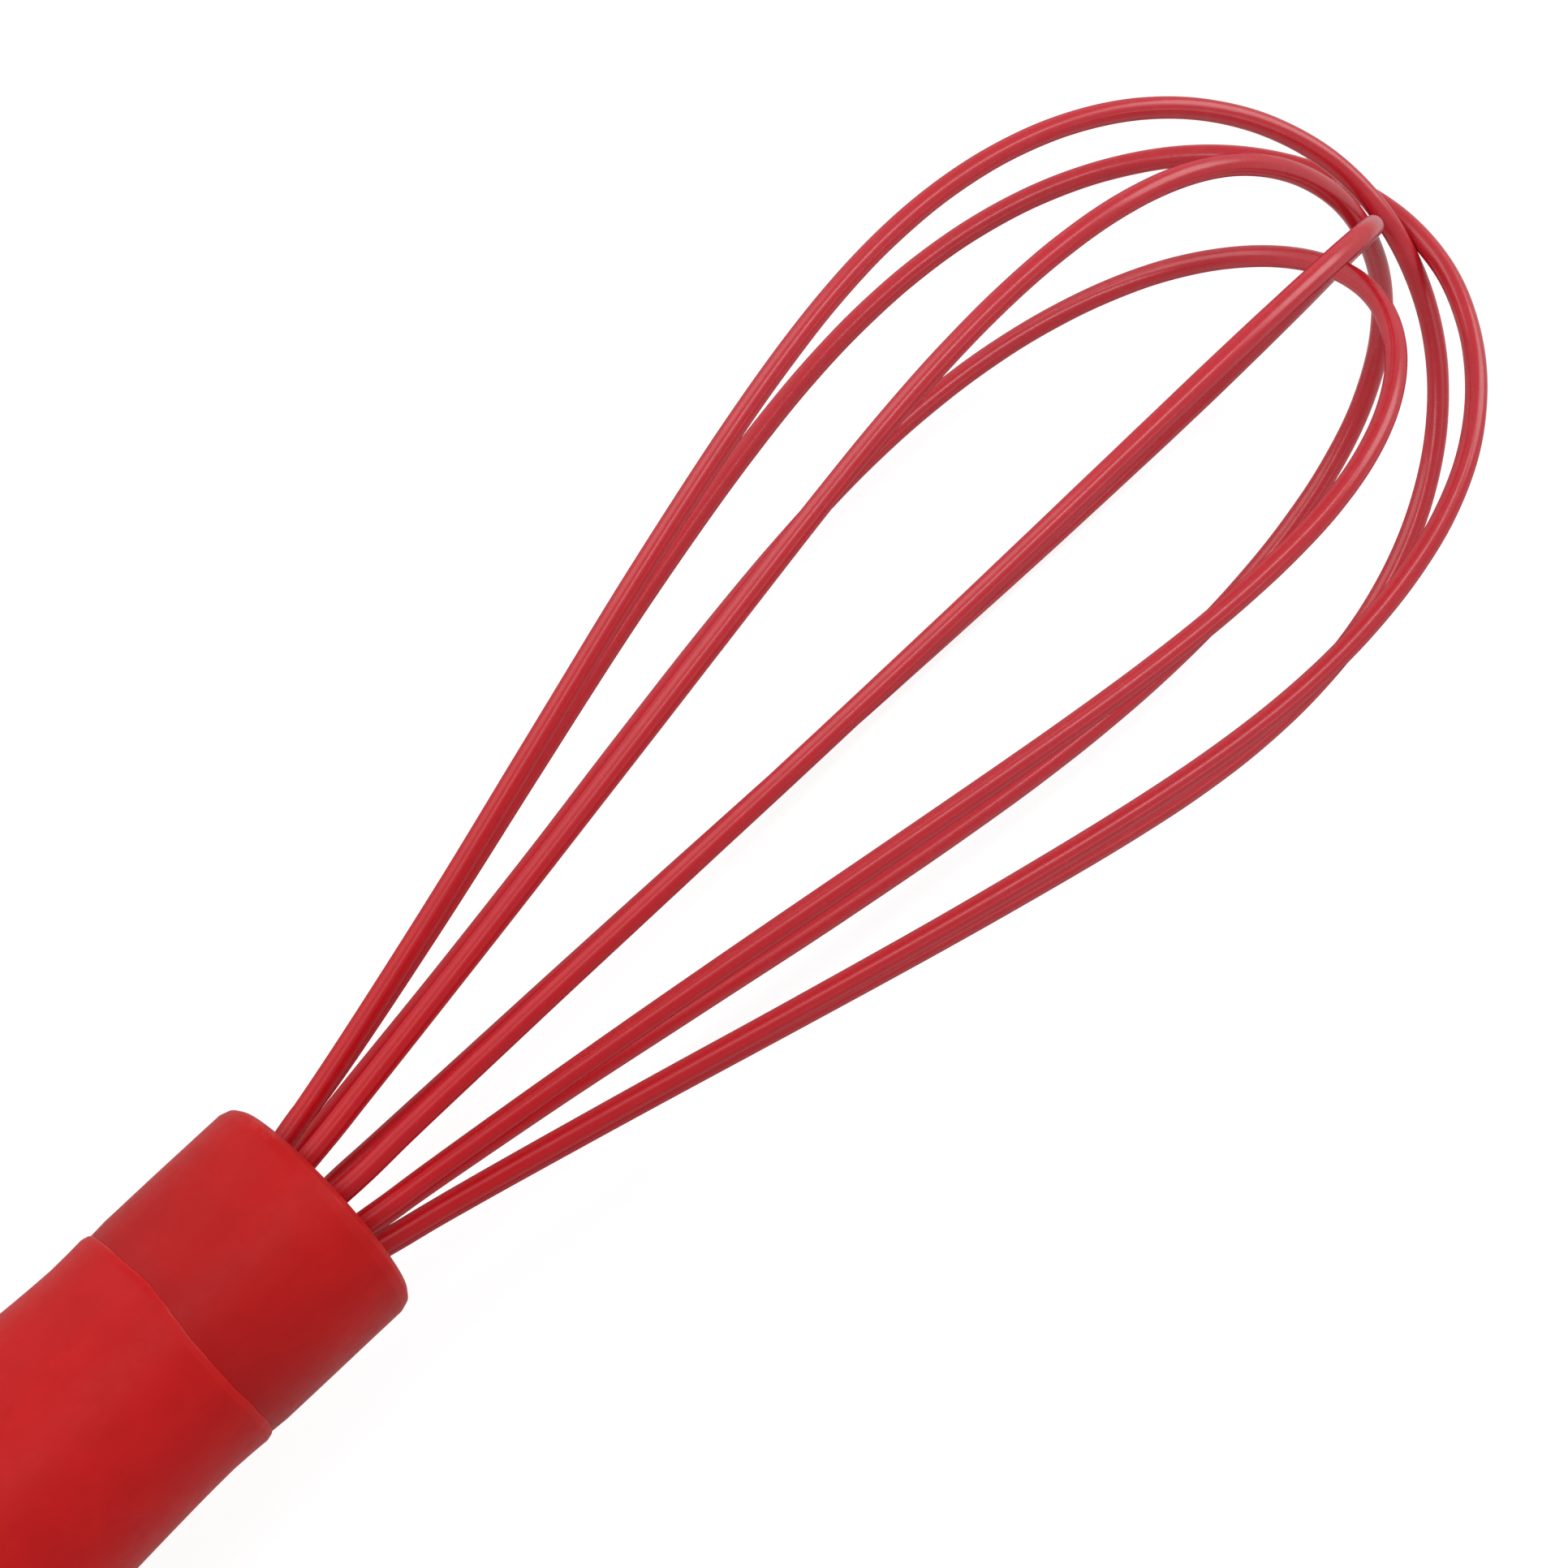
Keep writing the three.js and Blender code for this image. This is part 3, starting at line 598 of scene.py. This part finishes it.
def plastic_material(name, color, dark, rough, grain=0.000012):
    """Moulded plastic or rubber with flow marks; grain is the fine bump's depth in metres."""
    flow_amount, worn_amount = 0.25, 0.35

    def lighter(gain, lift):
        return tuple(min(1, c * gain + lift) for c in color)

    mat = Shader(name)
    cloud = mat.noise(scale=180)
    fine = mat.noise(scale=3600, rough=0.6)
    tint = mat.mix(mat.remap(cloud, span=(0.35, 0.68)), color, dark)
    flow = mat.noise(scale=300, detail=2, rough=0.5, distort=1.2, stretch=(0.2, 1, 1))
    flow = mat.times(mat.remap(flow, span=(0.55, 0.75)), flow_amount)
    tint = mat.mix(flow, tint, lighter(gain=1.25, lift=0.02))
    worn = mat.times(mat.edge(span=(0.51, 0.58)), worn_amount)
    tint = mat.mix(worn, tint, lighter(gain=1.4, lift=0.05))
    mat.set(Base_Color=tint, Roughness=mat.vary(rough, fine, middle=0.5, gain=0.16), IOR=1.5)
    mat.bump((fine, grain), (cloud, 0.00003))
    return mat.material


def resin_material():
    """Cloudy amber resin with small bubbles."""
    amber, pale, bubble_color = (0.58, 0.36, 0.13), (0.72, 0.52, 0.24), (0.88, 0.78, 0.55)
    bubble_amount = 0.5
    mat = Shader("resin")
    cloud = mat.noise(scale=240, detail=4, rough=0.6, distort=0.8)
    bubbles = mat.remap(mat.voronoi(scale=900), span=(0.16, 0.08))
    color = mat.mix(mat.remap(cloud, span=(0.35, 0.7)), amber, pale)
    color = mat.mix(mat.times(bubbles, bubble_amount), color, bubble_color)
    rough = mat.remap(cloud, span=(0, 1), to=(0.14, 0.32), smooth=False)
    mat.set(Base_Color=color, Roughness=rough, IOR=1.55, Coat_Weight=0.3,
            Subsurface_Weight=0.3, Subsurface_Radius=(1.0, 0.6, 0.3), Subsurface_Scale=0.002)
    mat.bump((bubbles, 0.00003), (cloud, 0.00004))
    return mat.material


MATERIALS = {
    # the collar gets painted shade towards the seam
    "collar": handle_material(
        "handle_silicone_collar", deep=(0.458, 0.0012, 0.0014), base=(0.495, 0.0018, 0.0020),
        light=(0.532, 0.0045, 0.0042), roughness=0.52, painted_shade=0.42),
    "grip": handle_material(
        "handle_silicone_grip", deep=(0.480, 0.0016, 0.0024), base=(0.516, 0.0024, 0.0030),
        light=(0.545, 0.0055, 0.0052), roughness=0.53),
    "cap": handle_material(
        "handle_silicone_cap", deep=(0.472, 0.0014, 0.0018), base=(0.508, 0.0022, 0.0026),
        light=(0.536, 0.0050, 0.0048), roughness=0.54),
    "sleeve": sleeve_material(),
    "wire": steel_material("steel_wire", color=(0.56, 0.56, 0.57), rough=0.34,
                           stretch=(0.05, 1, 1), scratch=0.175),
    "bright": steel_material("steel_bright", color=(0.66, 0.66, 0.67), rough=0.20,
                             stretch=(1, 0.25, 1), scratch=0.125),
    "nylon": plastic_material("nylon_red", color=(0.40, 0.012, 0.012),
                              dark=(0.30, 0.008, 0.009), rough=0.48),
    "core": plastic_material("core_plastic", color=(0.76, 0.72, 0.66),
                             dark=(0.62, 0.58, 0.52), rough=0.52),
    "resin": resin_material(),
    "seal": plastic_material("seal_rubber", color=(0.022, 0.022, 0.024),
                             dark=(0.012, 0.012, 0.013), rough=0.62, grain=0.00002),
}


def finish_piece(obj, node, material, body="whisk"):
    obj.data.materials.clear()
    obj.data.materials.append(MATERIALS[material])
    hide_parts(node)
    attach(obj, body)


# ------------------------------------------------------------------ wire loops
def ring_point(x, radius, degrees):
    angle = math.radians(degrees)
    return Vector((x, radius * math.cos(angle), radius * math.sin(angle)))


def leg_point(x, degrees):
    """A point on a leg where it runs along the cone."""
    return ring_point(x, LEG_CIRCLE_R + LEG_SLOPE * x, degrees)


def loop_centreline(points, first, second):
    def straight(degrees):
        return [leg_point(x, degrees) for x in (SLEEVE_END_X, 0, 4)]

    points = straight(first) + [Vector(p) for p in points] + straight(second)[::-1]
    return centripetal(points, 11)


def bare_end(degrees):
    """The bare wire in the handle: along the bundle, then bent out to the cone."""
    end, bend_start, bend_corner = (ring_point(x, BUNDLE_R, degrees)
                                    for x in (WIRE_END_X, -16.6, -15.4))
    bend_end = leg_point(-14, degrees)
    sleeve_end = leg_point(SLEEVE_END_X, degrees)
    points = [end.lerp(bend_start, k / 6) for k in range(6)]
    for k in range(9):
        t = k / 8
        points.append(bend_start.lerp(bend_corner, t).lerp(bend_corner.lerp(bend_end, t), t))
    return points + [bend_end.lerp(sleeve_end, k / 5) for k in range(1, 5)]


def sleeve_radii(count, phase):
    """The cut ends are a little rounded, and the moulded sleeve is not perfectly even."""
    radii = []
    for i in range(count):
        trim = {0: 0.10, 1: 0.03}.get(min(i, count - 1 - i), 0.0)
        uneven = 1 + 0.004 * math.sin(i * 0.21 + phase) + 0.003 * math.sin(i * 0.53 + 2 * phase)
        radii.append((SLEEVE_R - trim) * uneven)
    return radii


def build_loop(key):
    first, second = LEG_ANGLES[key]
    line = loop_centreline(LOOPS[key], first, second)
    sleeve = tube(f"sleeve_{key}", line, sleeve_radii(len(line), first), 36, SLEEVE_BORE_R)
    shade(sleeve, 40)
    finish_piece(sleeve, f"loop_{key}_sleeve", "sleeve")
    line = bare_end(first) + line + bare_end(second)[::-1]
    wire = tube(f"wire_{key}", line, [WIRE_R] * len(line), 16)
    shade(wire, 40)
    finish_piece(wire, f"loop_{key}_wire", "wire")


# ------------------------------------------------------------------ collar and grip
# (angle in degrees, shift of the seam along X)
SEAM_WANDER = [
    (0, 0.42), (25, 0.22), (48, 0.08), (64, 0.16), (74, -0.10), (84, -0.42), (95, -0.70),
    (110, -0.70), (122, -0.60), (140, -0.15), (160, 0.28), (180, 0.42), (215, 0.50),
    (250, 0.15), (290, -0.10), (325, 0.25), (360, 0.42),
]
SEAM_REACH = 6.0     # the wander dies out this far from the seam
SKIN_MIN_R = 11.5    # only the outer skin is uneven


def seam_shift(angle):
    degrees = math.degrees(angle) % 360
    (start, low), (end, high) = next(
        pair for pair in zip(SEAM_WANDER, SEAM_WANDER[1:]) if degrees <= pair[1][0])
    part = (degrees - start) / (end - start)
    return low + (high - low) * part * part * (3 - 2 * part)


def uneven_skin(x, r, angle):
    """Wanders the seam between collar and grip, and makes the outer skin slightly uneven."""
    near = max(0.0, 1 - abs(x - SEAM_X) / SEAM_REACH)
    shift = seam_shift(angle) * near * near * (3 - 2 * near)
    wave = 0.018 * math.sin(2 * angle + x * 0.11) + 0.012 * math.sin(3 * angle - x * 0.23)
    return x + shift, r + (wave if r > SKIN_MIN_R else 0.0)


def build_collar():
    outline = rounded([
        (0, 10.0, 0.0), (0, 12.15, 0.45), (-0.62, 12.98, 0.7), (-1.75, 13.34, 1.1),
        (-11, 13.36, 0), (-17.6, 13.33, 1.5), (COLLAR_END_X, 13.20, 0.02),
        (COLLAR_END_X, HANDLE_BORE_R, 0.1), (-1.2, HANDLE_BORE_R, 0.1), (-1.2, 9.7, 0.15),
        (-0.25, 9.7, 0.1),
    ])
    collar = lathe("collar_shell", densify(outline), 160, uneven_skin)
    shade(collar, 50)
    finish_piece(collar, "collar", "collar")


def build_grip():
    """The swelling grip: a lip at the seam, the side, then the tail and bore."""
    lip = rounded([
        (GRIP_START_X, 12.9, 0), (GRIP_START_X, 13.20, 0.02), (-19.95, 13.38, 0.35),
        (-20.6, 13.55, 0.8), (-22.2, 13.45, 1.5), (-24.5, 13.36, 0),
    ], closed=False)
    side = smooth_profile([
        (-24.5, 13.36), (-27.8, 13.45), (-32, 13.64), (-38.2, 13.97), (-46, 14.42),
        (-55, 14.82), (-63, 14.92), (-71, 14.62), (-79, 13.98), (-86, 13.25), (-91.5, 12.82),
        (-95.5, 12.78),
    ], 8)
    tail = rounded([
        (-95.5, 12.78, 0), (-98.0, 12.62, 0.55), (-98.0, HANDLE_BORE_R, 0.1),
        (GRIP_START_X, HANDLE_BORE_R, 0.1), (GRIP_START_X, 12.9, 0),
    ], closed=False)
    grip = lathe("grip_sleeve", densify(lip[:-1] + side[:-1] + tail[:-1]), 160, uneven_skin)
    shade(grip, 50)
    finish_piece(grip, "grip", "grip")


# ------------------------------------------------------------------ inside the handle
def pin_hole():
    return rod((PIN_X, 0, -14), (PIN_X, 0, 14), PIN_R + 0.15, 24)


def build_core():
    core = lathe("handle_core_tube", rounded([
        (-14.2, 7.9, 0.3), (-14.2, 10.2, 0.5), (-97.7, 10.2, 0.4), (-97.7, 7.3, 0.3),
        (-38, 7.3, 0.2), (-38, 7.9, 0.2),
    ]), 96)
    boolean(core, [pin_hole()])
    finish_piece(core, "handle_core", "core")


def leg_boss(angle):
    """A round-nosed boss on the holder's +X face, where one leg comes out."""
    root, nose = leg_point(-3.0, angle), leg_point(-0.35, angle)
    # part of the way from root to nose, radius
    stations = [(0, 2.0), (0.45, 2.0), (0.7, 1.9), (0.88, 1.74), (0.97, 1.6), (1, 1.44)]
    points = [root.lerp(nose, part) for part, radius in stations]
    return tube("boss", points, [radius for part, radius in stations], 24)


def build_holder():
    """The plug that carries the legs, with a groove round it for the seal."""
    holder = lathe("wire_holder_plug", rounded([
        (0, 0, 0), (0, 5.0, 0.5), (-1.5, 5.0, 0.3), (-1.5, 10.1, 0.5), (-9.2, 10.1, 0.15),
        (-9.2, 8.4, 0.15), (-11.6, 8.4, 0.15), (-11.6, 10.1, 0.15), (-13.8, 10.1, 0.4),
        (-13.8, 0, 0),
    ], closed=False), 96)
    boolean(holder, [leg_boss(angle) for angle in LEGS], "UNION")
    holes = []
    for angle in LEGS:
        seat = leg_point(SLEEVE_END_X - 0.3, angle)
        holes.append(rod(seat, leg_point(3, angle), SLEEVE_HOLE_R, 28))
        holes.append(rod(leg_point(-16, angle), leg_point(SLEEVE_END_X, angle), WIRE_HOLE_R, 20))
    boolean(holder, holes)
    finish_piece(holder, "wire_holder", "nylon")


def build_seal():
    seal = torus("seal_o_ring", (-10.4, 0, 0), (1, 0, 0), 9.45, 0.9, segments=96, sides=20)
    finish_piece(seal, "seal_ring", "seal")


def build_ferrule():
    """A thin steel tube with two crimped grooves."""
    def crimp(x):
        return [(x + 0.8, 7.6, 0.3), (x + 0.35, 7.35, 0.3),
                (x - 0.35, 7.35, 0.3), (x - 0.8, 7.6, 0.3)]

    ferrule = lathe("crimp_ferrule", rounded([
        (-15.6, 6.9, 0.15), (-15.6, 7.6, 0.25), *crimp(-20), *crimp(-25),
        (-34, 7.6, 0.25), (-34, 6.9, 0.15),
    ]), 96)
    boolean(ferrule, [pin_hole()])
    finish_piece(ferrule, "ferrule", "bright")


def build_potting():
    plug = lathe("potting_resin", rounded([
        (-33.6, 0, 0), (-33.6, 6.6, 0.5), (-17.2, 6.6, 0.3), (-16.95, 5.4, 0.4), (-17.15, 0, 0),
    ], closed=False), 72)
    holes = [rod(ring_point(WIRE_END_X - 0.2, BUNDLE_R, angle),
                 ring_point(-15.5, BUNDLE_R, angle), WIRE_HOLE_R, 20) for angle in LEGS]
    boolean(plug, [pin_hole()] + holes)
    finish_piece(plug, "potting_plug", "resin")


def build_pin():
    """The lock pin, across the handle along Z."""
    pin = lathe("lock_pin_steel", rounded([
        (-PIN_HALF, 0, 0), (-PIN_HALF, PIN_R, 0.25), (PIN_HALF, PIN_R, 0.25), (PIN_HALF, 0, 0),
    ], closed=False), 32)
    pin.data.transform(Matrix.Rotation(-math.pi / 2, 4, "Y"))
    pin.data.transform(Matrix.Translation((PIN_X * MM, 0, 0)))
    shade(pin, 50)
    finish_piece(pin, "lock_pin", "bright")


# ------------------------------------------------------------------ end cap and hanging ring
def lug_mesh():
    """A flat lug, round at its -X end, layered across Y with soft edges."""
    outline = [(LUG_ROOT_X, -LUG_R), (LUG_ROOT_X, LUG_R)]
    for k in range(33):
        angle = math.pi / 2 + math.pi * k / 32
        outline.append((EYE_X + LUG_R * math.cos(angle), LUG_R * math.sin(angle)))
    # (y, how far the outline is drawn in)
    layers = []
    for k in range(7):
        angle = math.pi / 2 * k / 6
        layers.append((-LUG_HALF_T + LUG_EDGE_R - LUG_EDGE_R * math.cos(angle),
                       LUG_EDGE_R - LUG_EDGE_R * math.sin(angle)))
    layers += [(-y, inset) for y, inset in reversed(layers)]
    verts, rings, faces = [], [], []
    for y, inset in layers:
        rings.append(tuple(range(len(verts), len(verts) + len(outline))))
        for x, z in outline:
            if x > EYE_X:
                verts.append((x, y, z - math.copysign(inset, z)))
            else:
                out = Vector((x - EYE_X, z)).normalized() * (LUG_R - inset)
                verts.append((EYE_X + out.x, y, out.y))
    for first, second in zip(rings, rings[1:]):
        faces += bridge(first, second)
    return link("lug", verts, faces + [rings[0], rings[-1]])


def eye_cutter():
    """The flared hole through the lug, along Y."""
    eye = lathe("tool", rounded([
        (-3.6, 0, 0), (-3.6, EYE_FLARE_R, 0), (-2.2, EYE_R, 1.0),
        (2.2, EYE_R, 1.0), (3.6, EYE_FLARE_R, 0), (3.6, 0, 0),
    ], closed=False), 48)
    eye.data.transform(Matrix.Rotation(math.pi / 2, 4, "Z"))
    eye.data.transform(Matrix.Translation((EYE_X * MM, 0, 0)))
    return eye


def build_cap():
    spigot = rounded([
        (-84, 0, 0), (-84, 6.4, 0.2), (-84.8, 7.0, 0.4), (-98.3, 7.0, 0.15),
        (-98.3, 12.5, 0.3), (-98.9, 12.6, 0.3),
    ], closed=False)
    dome = smooth_profile([
        (-98.9, 12.60), (-100.6, 12.58), (-102.6, 12.15), (-104.4, 11.2), (-105.9, 9.4),
        (-106.8, 6.6), (-107.08, 3.2),
    ], 6)
    cap = lathe("end_cap_moulding", spigot + dome[1:] + [(-107.1, 0)], 96)
    boolean(cap, [lug_mesh()], "UNION")
    boolean(cap, [eye_cutter()])
    finish_piece(cap, "end_cap", "cap")


def build_ring():
    """The ring through the eye, flat in XY, with a weld bead at its far (-X) side."""
    weld = Vector((-1, 0.25, 0)).normalized()

    def bulge(direction):
        angle = direction.angle(weld)
        bead = 0.07 * math.exp(-((angle / 0.07) ** 2))
        neck = 0.05 * math.exp(-(((angle - 0.12) / 0.04) ** 2))
        return 1 + bead - neck

    ring = torus("hang_ring_wire", (EYE_X - RING_R, 0, 0), (0, 0, 1), RING_R, RING_WIRE_R,
                 segments=144, sides=24, bulge=bulge)
    finish_piece(ring, "hang_ring", "bright", "ring")


for loop_key in LOOPS:
    build_loop(loop_key)
for build in (build_collar, build_grip, build_core, build_holder, build_seal, build_ferrule,
              build_potting, build_pin, build_cap, build_ring):
    build()

# ------------------------------------------------------------------ floor, light and camera
# brightness as the camera sees it, and as it lights the whisk
FLOOR_SEEN, FLOOR_BOUNCE = 0.82, 0.40
WORLD_SEEN, WORLD_LIGHT = 0.96, 0.45
FLOOR_SIZE, FLOOR_GAP = 8, 0.0006
MIDDLE = Vector((0.03, 0, 0))     # what the lights aim at

CAMERA_TILT = math.radians(14)
ROLL_COS, ROLL_SIN = 0.73235, 0.68093
CAMERA_TARGET = Vector((63.96, -0.78, 0)) * MM
CAMERA_DISTANCE = 622.5 * MM
# from the whisk to the camera, along the whisk as the camera sees it, and across it
back = Vector((-math.sin(CAMERA_TILT), 0, math.cos(CAMERA_TILT)))
side = Vector((math.cos(CAMERA_TILT), 0, math.sin(CAMERA_TILT)))
left = Vector((0, 1, 0))
# the view's own right and up
right = side * ROLL_COS - left * ROLL_SIN
up = side * ROLL_SIN + left * ROLL_COS


def build_floor():
    bpy.ops.mesh.primitive_grid_add(x_subdivisions=2, y_subdivisions=2, size=FLOOR_SIZE,
                                    location=(MIDDLE.x, 0, CAD_BOX[0].z - FLOOR_GAP))
    floor = bpy.context.object
    floor.name = "studio_floor"
    mat = Shader("pale_floor")
    path = mat.node("LightPath")
    color = mat.mix(mat.noise(scale=6, detail=2), (0.26, 0.26, 0.26), (0.29, 0.29, 0.29))
    mat.set(Base_Color=color, Roughness=0.9, Specular_IOR_Level=0.1)
    seen = mat.times(path.outputs["Is Camera Ray"], FLOOR_SEEN - FLOOR_BOUNCE)
    mat.set(Emission_Color=(1, 1, 1), Emission_Strength=mat.math("ADD", FLOOR_BOUNCE, seen))
    mat.bump((mat.noise(scale=700), 0.00002))
    floor.data.materials.append(mat.material)


def build_world():
    world = bpy.data.worlds.new("studio")
    scene.world = world
    world.use_nodes = True
    tree = world.node_tree
    background = tree.nodes["Background"]
    path = tree.nodes.new("ShaderNodeLightPath")
    strength = tree.nodes.new("ShaderNodeMapRange")
    tree.links.new(path.outputs["Is Camera Ray"], strength.inputs["Value"])
    strength.inputs["To Min"].default_value = WORLD_LIGHT
    strength.inputs["To Max"].default_value = WORLD_SEEN
    tree.links.new(strength.outputs[0], background.inputs["Strength"])
    background.inputs["Color"].default_value = (1.0, 1.0, 1.0, 1)


def area(name, direction, distance, size, energy, size_y=None, along=None):
    """An area light aimed at MIDDLE; along sets the direction of its X side."""
    data = bpy.data.lights.new(name, "AREA")
    data.energy, data.size = energy, size
    if size_y:
        data.shape, data.size_y = "RECTANGLE", size_y
    obj = bpy.data.objects.new(name, data)
    away = direction.normalized()
    obj.location = MIDDLE + away * distance
    obj.rotation_mode = "QUATERNION"
    if along:
        across = (along - away * along.dot(away)).normalized()
        axes = Matrix((across, away.cross(across), away)).transposed()
        obj.rotation_quaternion = axes.to_quaternion()
    else:
        obj.rotation_quaternion = (-away).to_track_quat("-Z", "Y")
    scene.collection.objects.link(obj)


def towards(azimuth, elevation):
    """A direction by angle in the view (0 right, 90 up) and angle out of it, degrees."""
    turn, lift = math.radians(azimuth), math.radians(elevation)
    return (right * math.cos(turn) + up * math.sin(turn)) * math.cos(lift) + back * math.sin(lift)


def build_camera():
    data = bpy.data.cameras.new("camera")
    camera = bpy.data.objects.new("camera", data)
    scene.collection.objects.link(camera)
    camera.location = CAMERA_TARGET + back * CAMERA_DISTANCE
    camera.rotation_mode = "QUATERNION"
    camera.rotation_quaternion = Matrix((right, up, back)).transposed().to_quaternion()
    data.sensor_width = 36
    data.lens = 139.75
    data.clip_start, data.clip_end = 0.01, 20
    scene.camera = camera


build_floor()
build_world()
area("overhead_strip", side * 0.14 + left * 0.20 + back * 0.85, distance=0.88,
     size=1.9, size_y=0.12, energy=4.0, along=side)
area("side_panel", towards(azimuth=140, elevation=26), distance=1.1, size=0.90, energy=4.0)
area("tip_panel", side * 0.96 + back * 0.18, distance=1.3, size=0.80, energy=5.0, along=left)
area("right_softbox", towards(azimuth=335, elevation=36), distance=0.95,
     size=0.60, size_y=0.14, energy=0.35, along=side)
build_camera()

scene.view_settings.view_transform = "Standard"
scene.view_settings.look = "None"
scene.view_settings.exposure = 0.0
scene.view_settings.gamma = 1.0
